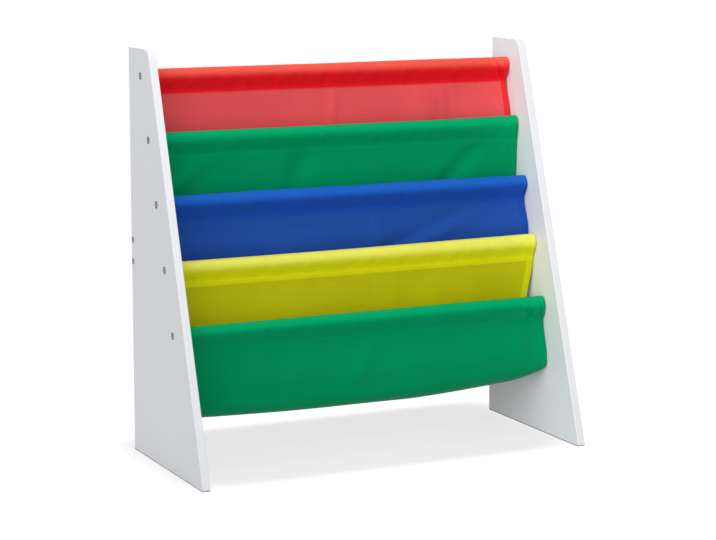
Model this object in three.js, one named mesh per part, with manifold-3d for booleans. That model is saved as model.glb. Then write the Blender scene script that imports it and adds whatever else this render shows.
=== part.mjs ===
// Sling bookshelf for a child's room: two slanted side panels, a rear rail, five wooden rods and
// five coloured cloth panels that hang from the rods and form four pockets between them.
// Millimetres, +Z up, front towards -Y. The origin lies on the floor, in the middle of the footprint.

import * as THREE from 'three';
import { mergeVertices } from 'three/addons/utils/BufferGeometryUtils.js';
import Module from 'manifold-3d';

const wasm = await Module();
wasm.setup();

// Overall sizes.
const overallWidth = 616;
const overallHeight = 600;
const footDepth = 276;
const topDepth = 80;

// Clearance between pieces that meet, and how far a cutter runs past what it cuts.
const seatGap = 0.3;
const cutOverrun = 2;

// Side panels: painted board, upright at the back and slanted at the front.
const panelThickness = 12;
const panelEdgeBreak = 0.8;
const topCornerRadius = 18;
const footCornerRadius = 3;

// Wooden rods, from the top one down, all at the same distance from the slanted front edge.
const rodCount = 5;
const rodDiameter = 18;
const rodEndBreak = 1;
const topRodBelowTop = 39.5;
const rodStepDown = 89.9;
const rodFromFrontEdge = 43.2;

// Rear rail between the panels, flush with their back edges.
const railThickness = 12;
const railHeight = 60;
const railEdgeBreak = 1;
const railCentreHeight = 301;
const railScrewSpacing = 32;

// Countersunk screws with a hexagon socket: large ones for the rods, smaller ones for the rail.
const rodScrew = {
  length: 50,
  headDiameter: 10,
  headRim: 0.8,
  headCone: 3,
  shankDiameter: 7,
  shankBelowHead: 7.4,
  threadDiameter: 6.2,
  tip: 5,
  socketAcrossFlats: 4,
  socketDepth: 3,
};
const railScrew = {
  length: 40,
  headDiameter: 8,
  headRim: 0.6,
  headCone: 2.4,
  shankDiameter: 5,
  shankBelowHead: 8.2,
  threadDiameter: 4.4,
  tip: 4,
  socketAcrossFlats: 3,
  socketDepth: 2.2,
};
const screwHeadSink = 0.3;
const pilotBeyondTip = 2;

// Cloth: each panel has a sleeve round its rod, closed by a seam, and hangs below it.
const clothThickness = 1;
const clothSideGap = 1;
const sleeveClearance = 0.4;
const sleeveDepth = 34;
const seamHeight = 5;
const pocketDrop = 126;
const hemLap = 10;

// How the cloth hangs: how far it lies forward of its rod, its soft folds and its lifted ends.
const hangDepth = 10;
const hangRun = 60;
const layerSpread = 3;
const foldDepth = 1.2;
const cornerLift = 13;
const cornerRun = 60;
const rightLift = 11;
const leftLift = 2;
const liftRun = 230;

// Forward lie of the hanging cloth at the left and right ends, as shares of hangDepth.
const leftLieShares = [0.3, 0.3, 0.4, 0.2, 0.7];
const rightLieShares = [0.6, 0.4, 0.6, -0.3, 1.3];

// Stations across the cloth as shares of half its width, and points down its hanging part.
const stationShares = [-1, -0.93, -0.82, -0.6, -0.36, -0.12, 0.12, 0.36, 0.6, 0.82, 0.93, 1];
const dropShares = [0.1, 0.22, 0.4, 0.7, 1];
const foldWaves = 2.5;

// Facets round the turned pieces and the curves of the cloth.
const rodFacets = 20;
const screwFacets = 14;
const cornerFacets = 6;
const sleeveFacets = 12;
const pocketFacets = 6;

// Places worked out from the sizes above.
const panelInnerX = overallWidth / 2 - panelThickness;
const backY = footDepth / 2;
const footFrontY = -footDepth / 2;
const topFrontY = backY - topDepth;

// The slanted edge touches the round of the front foot, whose centre lies one radius in and up.
const footRoundY = footFrontY + footCornerRadius;
const footToTopX = topFrontY - footRoundY;
const footToTopZ = overallHeight - footCornerRadius;
const slant = Math.atan2(footToTopX, footToTopZ)
  + Math.asin(footCornerRadius / Math.hypot(footToTopX, footToTopZ));
const rodRadius = rodDiameter / 2;
const clothHalfWidth = panelInnerX - clothSideGap;

const rodHeight = (row) => overallHeight - topRodBelowTop - row * rodStepDown;
const frontEdgeY = (z) => topFrontY - (overallHeight - z) * Math.tan(slant);
const rodDepthPlace = (row) => frontEdgeY(rodHeight(row)) + rodFromFrontEdge / Math.cos(slant);
const rows = Array.from({ length: rodCount }, (_, row) => row);

// Paint, wood, steel and cloth.
const finish = (color, roughness, metalness) =>
  new THREE.MeshStandardMaterial({ color, roughness, metalness });
const whitePaint = () => finish(0xe9eaec, 0.55, 0);
const paleWood = () => finish(0xd9bd8f, 0.6, 0);
const brightSteel = () => finish(0xb9bcc0, 0.3, 1);
const cloth = (color) => finish(color, 0.8, 0);

const bookshelf = new THREE.Group();
bookshelf.name = 'sling_bookshelf';

function addPiece(name, geometry, material) {
  const piece = new THREE.Mesh(geometry, material);
  piece.name = name;
  bookshelf.add(piece);
  return piece;
}

// A closed geometry as a solid that can be cut, and back again.
function toSolid(geometry) {
  const bare = geometry.clone();
  bare.deleteAttribute('normal');
  bare.deleteAttribute('uv');
  const merged = mergeVertices(bare);
  const vertProperties = new Float32Array(merged.attributes.position.array);
  const triVerts = new Uint32Array(merged.index.array);
  return new wasm.Manifold(new wasm.Mesh({ numProp: 3, vertProperties, triVerts }));
}

function toGeometry(solid) {
  const mesh = solid.getMesh();
  const geometry = new THREE.BufferGeometry();
  geometry.setAttribute('position', new THREE.BufferAttribute(mesh.vertProperties, 3));
  geometry.setIndex(new THREE.BufferAttribute(mesh.triVerts, 1));
  geometry.computeVertexNormals();
  return geometry;
}

function cutAway(geometry, cutters) {
  const left = cutters.reduce((solid, cutter) => solid.subtract(toSolid(cutter)), toSolid(geometry));
  return toGeometry(left);
}

// A turned shape about the X axis. The profile lists [radius, place along +X] pairs that start and
// end on the axis, with rising places.
function turned(profile, facets) {
  const points = profile.map(([radius, along]) => new THREE.Vector2(radius, along));
  return new THREE.LatheGeometry(points, facets).rotateZ(-Math.PI / 2);
}

// Moves a geometry made about the left end to its place. side is -1 for left and 1 for right, where
// it is turned half round the vertical so that it points inwards from that side too.
function placedAtSide(geometry, side, x, y, z) {
  if (side > 0) {
    geometry.rotateZ(Math.PI);
  }
  return geometry.translate(side * x, y, z);
}

// The screws of one side panel and their centres in depth and height.
const railMiddleY = backY - railThickness / 2;
const screwPlaces = [
  ...rows.map((row) => (
    { name: `rod_screw_${row + 1}`, kind: rodScrew, y: rodDepthPlace(row), z: rodHeight(row) })),
  { name: 'rail_screw_upper', kind: railScrew, y: railMiddleY, z: railCentreHeight + railScrewSpacing / 2 },
  { name: 'rail_screw_lower', kind: railScrew, y: railMiddleY, z: railCentreHeight - railScrewSpacing / 2 },
];

// Hole in a side panel: straight for the head's rim, a cone for its countersink, straight again for
// the shank. It starts at the outer face, at zero, and runs inwards.
function panelScrewHole({ headDiameter, headRim, headCone, shankDiameter }) {
  const headHole = headDiameter / 2 + seatGap;
  const shankHole = shankDiameter / 2 + seatGap;
  const coneStart = screwHeadSink + headRim + seatGap;
  return turned([
    [0, -cutOverrun],
    [headHole, -cutOverrun],
    [headHole, coneStart],
    [shankHole, coneStart + headCone],
    [shankHole, panelThickness + cutOverrun],
    [0, panelThickness + cutOverrun],
  ], screwFacets);
}

// Pilot hole in the end of a rod or rail, from its end face inwards.
function pilotHole({ threadDiameter, length }) {
  const pilotRadius = threadDiameter / 2 + seatGap;
  const pilotDepth = screwHeadSink + length - panelThickness + pilotBeyondTip;
  return turned([
    [0, -cutOverrun],
    [pilotRadius, -cutOverrun],
    [pilotRadius, pilotDepth],
    [0, pilotDepth],
  ], screwFacets);
}

// Side panel outline in depth and height: flat top and back, a rounded top front corner, a slanted
// front edge and a slightly rounded front foot.
function panelOutline() {
  const frontNormal = Math.PI - slant;
  const topInset = topCornerRadius * Math.tan((Math.PI / 2 - slant) / 2);
  const outline = new THREE.Shape();
  outline.moveTo(backY, 0);
  outline.lineTo(backY, overallHeight);
  outline.absarc(topFrontY + topInset, overallHeight - topCornerRadius, topCornerRadius,
    Math.PI / 2, frontNormal);
  outline.absarc(footRoundY, footCornerRadius, footCornerRadius, frontNormal, Math.PI * 1.5);
  outline.closePath();
  return outline;
}

// Turns an outline drawn in depth and height, extruded along local Z, so that it runs along +X.
const acrossShelf = new THREE.Matrix4().makeBasis(
  new THREE.Vector3(0, 1, 0), new THREE.Vector3(0, 0, 1), new THREE.Vector3(1, 0, 0));

function boardAcross(outline, length, edgeBreak) {
  const board = new THREE.ExtrudeGeometry(outline, {
    depth: length - 2 * edgeBreak,
    bevelEnabled: true,
    bevelThickness: edgeBreak,
    bevelSize: edgeBreak,
    bevelOffset: -edgeBreak,
    bevelSegments: 1,
    curveSegments: cornerFacets,
  });
  return board.translate(0, 0, edgeBreak).applyMatrix4(acrossShelf);
}

// The two side panels, cut with their screw holes.
for (const [sideName, side] of [['left', -1], ['right', 1]]) {
  const board = boardAcross(panelOutline(), panelThickness, panelEdgeBreak);
  board.translate(-panelThickness / 2 + side * (panelInnerX + panelThickness / 2), 0, 0);
  const holes = screwPlaces.map(({ kind, y, z }) =>
    placedAtSide(panelScrewHole(kind), side, overallWidth / 2, y, z));
  addPiece(`${sideName}_side_panel`, cutAway(board, holes), whitePaint());
}

// The rear rail, seated between the panels.
const betweenPanels = 2 * (panelInnerX - seatGap);
const railOutline = new THREE.Shape();
railOutline.moveTo(backY - railThickness, railCentreHeight - railHeight / 2);
railOutline.lineTo(backY, railCentreHeight - railHeight / 2);
railOutline.lineTo(backY, railCentreHeight + railHeight / 2);
railOutline.lineTo(backY - railThickness, railCentreHeight + railHeight / 2);
railOutline.closePath();
const rail = boardAcross(railOutline, betweenPanels, railEdgeBreak);
rail.translate(-betweenPanels / 2, 0, 0);
const railPilots = [-1, 1].flatMap((side) => screwPlaces
  .filter(({ kind }) => kind === railScrew)
  .map(({ y, z }) => placedAtSide(pilotHole(railScrew), side, betweenPanels / 2, y, z)));
addPiece('rear_rail', cutAway(rail, railPilots), whitePaint());

// The rods, each with a pilot hole in both ends.
for (const row of rows) {
  const end = betweenPanels / 2;
  const rod = turned([
    [0, -end],
    [rodRadius - rodEndBreak, -end],
    [rodRadius, -end + rodEndBreak],
    [rodRadius, end - rodEndBreak],
    [rodRadius - rodEndBreak, end],
    [0, end],
  ], rodFacets);
  const pilots = [-1, 1].map((side) => placedAtSide(pilotHole(rodScrew), side, end, 0, 0));
  const piece = addPiece(`dowel_rod_${row + 1}`, cutAway(rod, pilots), paleWood());
  piece.position.set(0, rodDepthPlace(row), rodHeight(row));
}

// A screw that starts at its head's top, at zero, and points along +X.
function screwGeometry(kind) {
  const headRadius = kind.headDiameter / 2;
  const shankRadius = kind.shankDiameter / 2;
  const threadRadius = kind.threadDiameter / 2;
  const shankStart = kind.headRim + kind.headCone;
  const shankEnd = shankStart + kind.shankBelowHead;
  const body = turned([
    [0, 0],
    [headRadius, 0],
    [headRadius, kind.headRim],
    [shankRadius, shankStart],
    [shankRadius, shankEnd],
    [threadRadius, shankEnd],
    [threadRadius, kind.length - kind.tip],
    [0, kind.length],
  ], screwFacets);
  const socketRadius = kind.socketAcrossFlats / 2 / Math.cos(Math.PI / 6);
  const socket = turned([
    [0, -cutOverrun],
    [socketRadius, -cutOverrun],
    [socketRadius, kind.socketDepth],
    [0, kind.socketDepth],
  ], 6);
  return cutAway(body, [socket]);
}

// Every screw, with its head just below the face of its side panel.
for (const [sideName, side] of [['left', -1], ['right', 1]]) {
  for (const { name, kind, y, z } of screwPlaces) {
    const screw = placedAtSide(screwGeometry(kind), side, overallWidth / 2 - screwHeadSink, y, z);
    addPiece(`${sideName}_${name}`, screw, brightSteel());
  }
}

// Cloth panels from the top rod down. The top one hangs in one layer, and so does the bottom one,
// which turns under the last pocket. The others hang in two: the front layer is the back of their own
// pocket, and the rear layer is the front of the pocket above, which it turns under.
const clothPanels = [
  { name: 'sling_red', color: 0xd2141e, frontLayer: true, rearLayer: false },
  { name: 'sling_green_upper', color: 0x00824f, frontLayer: true, rearLayer: true },
  { name: 'sling_blue', color: 0x1f479c, frontLayer: true, rearLayer: true },
  { name: 'sling_yellow', color: 0xbdbb00, frontLayer: true, rearLayer: true },
  { name: 'sling_green_lower', color: 0x008350, frontLayer: false, rearLayer: true },
];

const clamp01 = (value) => Math.min(Math.max(value, 0), 1);
const smooth = (value) => value * value * (3 - 2 * value);
const shareAcross = (x) => (x / clothHalfWidth + 1) / 2;

// How far forward of its rod the hanging cloth of a row lies at x, once it hangs free.
function forwardLie(row, x) {
  const share = shareAcross(x);
  const lieShare = leftLieShares[row] + (rightLieShares[row] - leftLieShares[row]) * share;
  return hangDepth * lieShare + foldDepth * Math.sin(foldWaves * 2 * Math.PI * share + row);
}

// Height of the underside of the pocket whose front hangs on a row's rod. Its ends are lifted.
function pocketUnderside(row, x) {
  const inRun = clamp01((Math.abs(x) - clothHalfWidth + cornerRun) / cornerRun);
  const lift = x > 0 ? rightLift : leftLift;
  const inLift = clamp01((Math.abs(x) - clothHalfWidth + liftRun) / liftRun);
  return rodHeight(row) - pocketDrop + cornerLift * inRun * inRun + lift * inLift;
}

// The lowest part of a row's own pocket at x: the middle planes of its back, front and lapped edge,
// the turn's radius and the height of its centre.
function pocketTurn(row, x) {
  const back = rodDepthPlace(row) - clothThickness / 2 - forwardLie(row, x);
  const below = clothPanels[row + 1];
  const spread = below.frontLayer ? layerSpread + clothThickness : 0;
  const front = rodDepthPlace(row + 1) - clothThickness / 2 - forwardLie(row + 1, x) + spread;
  const edge = back + clothThickness + seatGap;
  const radius = (edge - front) / 2;
  return { back, front, edge, radius, centre: pocketUnderside(row + 1, x) + clothThickness / 2 + radius };
}

// Middle line of a hanging layer, from the seam below the sleeve down to a given height.
function hangingLine(startY, startZ, endY, endZ) {
  const line = [new THREE.Vector2(startY, startZ)];
  for (const share of dropShares) {
    const z = startZ + (endZ - startZ) * share;
    const y = startY + (endY - startY) * smooth(clamp01((startZ - z) / hangRun));
    line.push(new THREE.Vector2(y, z));
  }
  return line;
}

// The two faces of a cloth layer, half a thickness to each side of its middle line. The outer one is
// the front face of a layer that runs down.
function layerFaces(line) {
  const outer = [];
  const inner = [];
  line.forEach((point, index) => {
    const before = line[Math.max(index - 1, 0)];
    const after = line[Math.min(index + 1, line.length - 1)];
    const run = after.clone().sub(before).normalize();
    const across = new THREE.Vector2(run.y, -run.x).multiplyScalar(clothThickness / 2);
    outer.push(point.clone().add(across));
    inner.push(point.clone().sub(across));
  });
  return { outer, inner };
}

// Outline of a cloth panel at x, in depth and height, and the outline of the room in its sleeve.
function clothSection(row, x) {
  const { frontLayer, rearLayer } = clothPanels[row];
  const y = rodDepthPlace(row);
  const z = rodHeight(row);
  const innerRadius = rodRadius + sleeveClearance;
  const outerRadius = innerRadius + clothThickness;
  const seamTop = sleeveDepth - outerRadius;
  const seamEnd = z - seamTop - seamHeight;
  const turnAway = Math.acos(innerRadius / seamTop);
  const round = (radius) => Array.from({ length: sleeveFacets + 1 }, (_, step) => {
    const from = -Math.PI / 2 + turnAway;
    const angle = from + (2 * Math.PI - 2 * turnAway) * step / sleeveFacets;
    return new THREE.Vector2(y + radius * Math.cos(angle), z + radius * Math.sin(angle));
  });

  const contour = round(outerRadius);
  contour.push(new THREE.Vector2(y - clothThickness, z - seamTop));

  if (frontLayer) {
    const turn = pocketTurn(row, x);
    const line = hangingLine(y - clothThickness / 2, seamEnd, turn.back, turn.centre);
    const faces = layerFaces(line);
    contour.push(new THREE.Vector2(y - clothThickness, seamEnd), ...faces.outer.slice(1));
    contour.push(...faces.inner.slice(1).reverse(), new THREE.Vector2(y, seamEnd));
  }

  if (rearLayer) {
    const turn = pocketTurn(row - 1, x);
    const startY = frontLayer ? y + clothThickness / 2 : y - clothThickness / 2;
    const line = hangingLine(startY, seamEnd, turn.front, turn.centre);
    for (let step = 1; step <= pocketFacets; step += 1) {
      const angle = Math.PI + Math.PI * step / pocketFacets;
      const middle = turn.front + turn.radius;
      line.push(new THREE.Vector2(
        middle + turn.radius * Math.cos(angle), turn.centre + turn.radius * Math.sin(angle)));
    }
    line.push(new THREE.Vector2(turn.edge, turn.centre + hemLap));
    const faces = layerFaces(line);
    if (!frontLayer) {
      contour.push(new THREE.Vector2(y - clothThickness, seamEnd));
    }
    contour.push(...faces.outer.slice(1));
    contour.push(...faces.inner.slice(1).reverse());
    if (!frontLayer) {
      contour.push(new THREE.Vector2(y, seamEnd));
    }
  }
  contour.push(new THREE.Vector2(y + clothThickness, seamEnd));
  contour.push(new THREE.Vector2(y + clothThickness, z - seamTop));

  const sleeveRoom = [new THREE.Vector2(y, z - seamTop), ...round(innerRadius).reverse()];
  return { contour, sleeveRoom };
}

// A cloth panel: its section carried from station to station, closed by a cap at each end.
function clothGeometry(row) {
  const positions = [];
  const faces = [];
  const sections = stationShares.map((share) => clothSection(row, share * clothHalfWidth));
  const contourCount = sections[0].contour.length;
  const roomCount = sections[0].sleeveRoom.length;
  const pointCount = contourCount + roomCount;

  sections.forEach(({ contour, sleeveRoom }, station) => {
    for (const point of [...contour, ...sleeveRoom]) {
      positions.push(stationShares[station] * clothHalfWidth, point.x, point.y);
    }
  });

  for (let station = 0; station < sections.length - 1; station += 1) {
    for (const [first, count] of [[0, contourCount], [contourCount, roomCount]]) {
      for (let index = 0; index < count; index += 1) {
        const here = station * pointCount + first + index;
        const next = station * pointCount + first + (index + 1) % count;
        faces.push(here, next, next + pointCount, here, next + pointCount, here + pointCount);
      }
    }
  }

  const capFaces = ({ contour, sleeveRoom }) => THREE.ShapeUtils.triangulateShape(contour, [sleeveRoom]);
  for (const [a, b, c] of capFaces(sections[0])) {
    faces.push(c, b, a);
  }
  const lastStart = (sections.length - 1) * pointCount;
  for (const [a, b, c] of capFaces(sections[sections.length - 1])) {
    faces.push(lastStart + a, lastStart + b, lastStart + c);
  }

  const geometry = new THREE.BufferGeometry();
  geometry.setAttribute('position', new THREE.Float32BufferAttribute(positions, 3));
  geometry.setIndex(faces);
  geometry.computeVertexNormals();
  return geometry;
}

clothPanels.forEach(({ name, color }, row) => addPiece(name, clothGeometry(row), cloth(color)));

export default bookshelf;
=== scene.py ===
import bmesh
import bpy
import numpy as np
from mathutils import Matrix, Vector
from mathutils.geometry import delaunay_2d_cdt


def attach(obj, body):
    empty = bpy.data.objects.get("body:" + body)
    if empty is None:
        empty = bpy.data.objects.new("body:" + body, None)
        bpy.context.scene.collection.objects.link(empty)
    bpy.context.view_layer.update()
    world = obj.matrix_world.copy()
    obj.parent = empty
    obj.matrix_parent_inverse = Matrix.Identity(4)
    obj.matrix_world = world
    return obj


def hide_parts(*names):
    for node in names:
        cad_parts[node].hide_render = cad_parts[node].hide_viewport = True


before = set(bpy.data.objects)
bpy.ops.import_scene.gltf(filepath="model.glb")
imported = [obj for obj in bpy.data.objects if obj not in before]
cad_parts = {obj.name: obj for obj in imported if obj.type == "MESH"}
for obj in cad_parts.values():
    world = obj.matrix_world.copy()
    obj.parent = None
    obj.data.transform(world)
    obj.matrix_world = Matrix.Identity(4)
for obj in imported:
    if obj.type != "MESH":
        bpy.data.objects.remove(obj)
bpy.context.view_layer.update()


# Side panels. Two fibreboards, upright at the back and slanted at the front, with one rounded top
# corner. Their arrises are eased by sanding. They are painted white, then drilled from outside for
# countersunk screws, one at each rod and two near the back edge for the rail.
overall_width = 0.616
overall_height = 0.600
foot_depth = 0.276
top_depth = 0.080
board_thickness = 0.012
top_corner_radius = 0.018
foot_corner_radius = 0.003
back_corner_radius = 0.0016
arris = 0.0009
arris_steps = 6
corner_steps = 24
shading_hold = 0.0003

back_y = foot_depth / 2
foot_front_y = -foot_depth / 2
top_front_y = back_y - top_depth

# The slanted edge touches the round of the foot, whose centre lies one radius in and one up.
foot_round_y = foot_front_y + foot_corner_radius
foot_to_top = (top_front_y - foot_round_y, overall_height - foot_corner_radius)
slant = (np.arctan2(foot_to_top[0], foot_to_top[1])
         + np.arcsin(foot_corner_radius / np.hypot(foot_to_top[0], foot_to_top[1])))

# Rod centres from the top one down, all at the same distance from the slanted edge.
rod_count = 5
rod_radius = 0.009
first_rod_drop = 0.0395
rod_spacing = 0.0899
rod_from_slant = 0.0432
rod_z = overall_height - first_rod_drop - rod_spacing * np.arange(rod_count)
rod_y = top_front_y - (overall_height - rod_z) * np.tan(slant) + rod_from_slant / np.cos(slant)

# Screws with a countersunk head and a hexagon socket. Those of the rail are smaller.
rod_screw = {
    "length": 0.050, "head": 0.010, "rim": 0.0008, "cone": 0.0030, "shank": 0.0070, "plain": 0.0074,
    "crest": 0.0062, "core": 0.0046, "pitch": 0.0024, "tip": 0.005, "socket": 0.004, "socket_depth": 0.003}
rail_screw = {
    "length": 0.040, "head": 0.008, "rim": 0.0006, "cone": 0.0024, "shank": 0.0050, "plain": 0.0082,
    "crest": 0.0044, "core": 0.0032, "pitch": 0.0018, "tip": 0.004, "socket": 0.003, "socket_depth": 0.0022}
head_sink = 0.0003
drill_clearance = 0.0003
hole_lip = 0.00025
lip_middle = 0.3
hole_facets = 40
rail_thickness = 0.012
rail_height = 0.060
rail_centre_z = 0.301
rail_screw_spacing = 0.032
rail_y = back_y - rail_thickness / 2

screw_places = [(f"rod_screw_{row + 1}", rod_screw, rod_y[row], rod_z[row]) for row in range(rod_count)]
screw_places += [
    ("rail_screw_upper", rail_screw, rail_y, rail_centre_z + rail_screw_spacing / 2),
    ("rail_screw_lower", rail_screw, rail_y, rail_centre_z - rail_screw_spacing / 2)]


def from_screen(red, green, blue):
    """A colour read on a screen, from 0 to 255, as the linear colour that a shader takes, by the
    usual curve of screens: a straight foot, and above it a power of 2.4."""
    value = np.array([red, green, blue]) / 255
    linear = np.where(value <= 0.04045, value / 12.92, ((value + 0.055) / 1.055) ** 2.4)
    return (*(float(part) for part in linear), 1.0)


def add_node(tree, kind, settings=None, **inputs):
    """A node with its settings and inputs. An input is a value, or the output that feeds it. Input
    names are written with underscores for spaces, and in_0, in_1 stand for inputs by number."""
    node = tree.nodes.new(kind)
    for name, value in (settings or {}).items():
        setattr(node, name, value)
    for name, value in inputs.items():
        key = int(name[3:]) if name.startswith("in_") else name.replace("_", " ")
        if isinstance(value, bpy.types.NodeSocket):
            tree.links.new(value, node.inputs[key])
        else:
            node.inputs[key].default_value = value
    return node


def maths(tree, operation, *terms):
    """The result of one Math node."""
    numbered = {f"in_{number}": term for number, term in enumerate(terms)}
    return add_node(tree, "ShaderNodeMath", {"operation": operation}, **numbered).outputs[0]


def varied(tree, noise, least, spread):
    """A value that a noise or a mark moves: the least value plus the spread times the noise."""
    return maths(tree, "MULTIPLY_ADD", noise, spread, least)


def scaled_colour(tree, colour, gain):
    """A colour times a number."""
    node = add_node(tree, "ShaderNodeVectorMath", {"operation": "SCALE"}, in_0=colour, Scale=gain)
    return node.outputs[0]


def blended(tree, share, first, second):
    """Two colours mixed: the first where the share is nought, the second where it is one."""
    return add_node(tree, "ShaderNodeMix", {"data_type": "RGBA"}, Factor=share, in_6=first,
                    in_7=second).outputs[2]


def read_mark(tree, name):
    """A value that the mesh gives for each of its points."""
    return add_node(tree, "ShaderNodeAttribute", {"attribute_name": name}).outputs["Fac"]


def add_noise(tree, place, scale, detail):
    """A cloudy noise from nought to one."""
    return add_node(tree, "ShaderNodeTexNoise", Vector=place, Scale=scale, Detail=detail).outputs[0]


def add_relief(tree, shader, height, strength, distance):
    """A fine relief on a material, raised by a height from nought to one."""
    bump = add_node(tree, "ShaderNodeBump", Height=height, Strength=strength, Distance=distance)
    tree.links.new(bump.outputs[0], shader.inputs["Normal"])


def new_group(name, inputs, outputs):
    """An empty node group with named sockets, and its input and output nodes."""
    group = bpy.data.node_groups.new(name, "ShaderNodeTree")
    for in_out, sockets in (("INPUT", inputs), ("OUTPUT", outputs)):
        for socket, kind in sockets:
            group.interface.new_socket(name=socket, in_out=in_out, socket_type=kind)
    return group, group.nodes.new("NodeGroupInput").outputs, group.nodes.new("NodeGroupOutput").inputs


def new_finish(name, **shader_values):
    """A material, its node tree and its Principled BSDF, with constant values set on the shader."""
    material = bpy.data.materials.new(name)
    material.use_nodes = True
    shader = material.node_tree.nodes["Principled BSDF"]
    for key, value in shader_values.items():
        shader.inputs[key.replace("_", " ")].default_value = value
    return material, material.node_tree, shader


def make_mottle():
    """Group that varies a colour a little from place to place: the colour times one plus amount times
    a noise that runs from minus one to one. It also puts out the noise itself, from nought to one."""
    group, given, result = new_group(
        "faint_mottle",
        [("Vector", "NodeSocketVector"), ("Color", "NodeSocketColor"), ("Scale", "NodeSocketFloat"),
         ("Amount", "NodeSocketFloat")],
        [("Color", "NodeSocketColor"), ("Noise", "NodeSocketFloat")])
    noise = add_noise(group, given["Vector"], given["Scale"], detail=3.0)
    around_nought = maths(group, "MULTIPLY_ADD", noise, 2.0, -1.0)
    gain = maths(group, "MULTIPLY_ADD", around_nought, given["Amount"], 1.0)
    group.links.new(scaled_colour(group, given["Color"], gain), result["Color"])
    group.links.new(noise, result["Noise"])
    return group


mottle = make_mottle()


def add_mottle(tree, vector, color, scale, amount):
    """The mottle group placed in a material. Gives its colour and its noise."""
    node = add_node(tree, "ShaderNodeGroup", {"node_tree": mottle},
                    Vector=vector, Color=color, Scale=scale, Amount=amount)
    return node.outputs["Color"], node.outputs["Noise"]


# Painted contact shadow along the lowest edge: a darker colour up to an uneven height, fading over a short
# way.
foot_shade_height = 0.0024
foot_shade_fade = 0.0005
foot_shade_unevenness = 0.0006
foot_shade_share = 0.9
stipple_share = 0.35


def make_white_paint():
    """Satin white paint: a fine roller stipple and a slow waviness of the film, and a roughness that
    drifts. Where the screw holes were drilled after painting, the hole walls show unpainted board,
    darkened to a painted shade of the gap round each screw. Along the lowest edge, where the foot
    meets the floor, there is a painted contact shadow."""
    material, tree, shader = new_finish("white_paint", Specular_IOR_Level=0.42, Coat_Weight=0.06)
    place = add_node(tree, "ShaderNodeTexCoord").outputs["Object"]
    white, _ = add_mottle(tree, place, from_screen(229, 231, 235), scale=9.0, amount=0.012)
    # Unpainted board on the hole walls, darkened to a painted shade.
    shaded_bare_board, _ = add_mottle(tree, place, from_screen(52, 44, 38), scale=900.0, amount=0.25)
    painted = blended(tree, read_mark(tree, "bare_board_and_shade"), white, shaded_bare_board)
    # Painted contact shadow along the foot's lowest edge.
    painted_foot_shade, foot_shade_noise = add_mottle(tree, place, from_screen(112, 110, 108), scale=260.0, amount=0.15)
    height = add_node(tree, "ShaderNodeSeparateXYZ", Vector=place).outputs["Z"]
    in_foot_shade = add_node(tree, "ShaderNodeMapRange",
                      Value=varied(tree, foot_shade_noise, least=height, spread=foot_shade_unevenness), From_Min=foot_shade_height,
                      From_Max=foot_shade_height - foot_shade_fade, To_Max=foot_shade_share).outputs[0]
    tree.links.new(blended(tree, in_foot_shade, painted, painted_foot_shade), shader.inputs["Base Color"])
    rough = varied(tree, add_noise(tree, place, scale=14.0, detail=2.0), least=0.36, spread=0.16)
    rough = varied(tree, read_mark(tree, "sawn_edge"), least=rough, spread=0.06)
    tree.links.new(rough, shader.inputs["Roughness"])
    stipple = add_noise(tree, place, scale=1400.0, detail=2.0)
    wave = add_noise(tree, place, scale=160.0, detail=1.0)
    film = maths(tree, "ADD", maths(tree, "MULTIPLY", stipple, stipple_share), wave)
    add_relief(tree, shader, film, strength=0.22, distance=0.00016)
    return material


white_paint = make_white_paint()


def add_piece(name, points, faces, material, smooth=True, marks=None, uv=None):
    """A closed mesh in its own place, with its faces turned outwards, that rides on the frame. marks
    are values for each point, uv a coordinate pair for each point."""
    mesh = bpy.data.meshes.new(name)
    mesh.from_pydata(points.tolist(), [], faces)
    outward = bmesh.new()
    outward.from_mesh(mesh)
    bmesh.ops.recalc_face_normals(outward, faces=outward.faces)
    outward.to_mesh(mesh)
    outward.free()
    mesh.polygons.foreach_set("use_smooth", np.broadcast_to(smooth, len(mesh.polygons)).tolist())
    for mark, values in (marks or {}).items():
        mesh.attributes.new(mark, "FLOAT", "POINT").data.foreach_set("value", values)
    if uv is not None:
        corner = np.empty(len(mesh.loops), dtype=np.int32)
        mesh.loops.foreach_get("vertex_index", corner)
        mesh.uv_layers.new(name="cloth").data.foreach_set("uv", uv[corner].ravel())
    mesh.materials.append(material)
    piece = bpy.data.objects.new(name, mesh)
    bpy.context.scene.collection.objects.link(piece)
    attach(piece, "root")
    return piece


def closed_ring_faces(index):
    """Quads between neighbouring rings of an array of point numbers, one ring in each row."""
    near, far = index[:-1], index[1:]
    return np.stack([near, far, np.roll(far, -1, 1), np.roll(near, -1, 1)], -1).reshape(-1, 4)


def unit(vectors):
    """The vectors drawn out or in to a length of one."""
    return vectors / np.linalg.norm(vectors, axis=-1, keepdims=True)


def rounded_outline(corners, radii):
    """Outline with rounded corners, anticlockwise. The centre of each round lies on the corner's
    bisector, at one radius over the sine of half the angle. A point just before and after each round
    keeps the shading of the straight sides flat."""
    corners, radii = np.asarray(corners, float), np.asarray(radii, float)
    before = unit(np.roll(corners, 1, 0) - corners)
    after = unit(np.roll(corners, -1, 0) - corners)
    half_angle = np.arccos((before * after).sum(1)) / 2
    bisector = unit(before + after)
    centre = corners + bisector * (radii / np.sin(half_angle))[:, None]
    sweep = np.linspace(-1, 1, corner_steps) * (np.pi / 2 - half_angle)[:, None]
    angle = np.arctan2(-bisector[:, 1], -bisector[:, 0])[:, None] + sweep
    arc = centre[:, None] + radii[:, None, None] * np.stack([np.cos(angle), np.sin(angle)], -1)
    first = arc[:, :1] + before[:, None] * shading_hold
    last = arc[:, -1:] + after[:, None] * shading_hold
    return np.concatenate([first, arc, last], 1).reshape(-1, 2)


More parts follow.
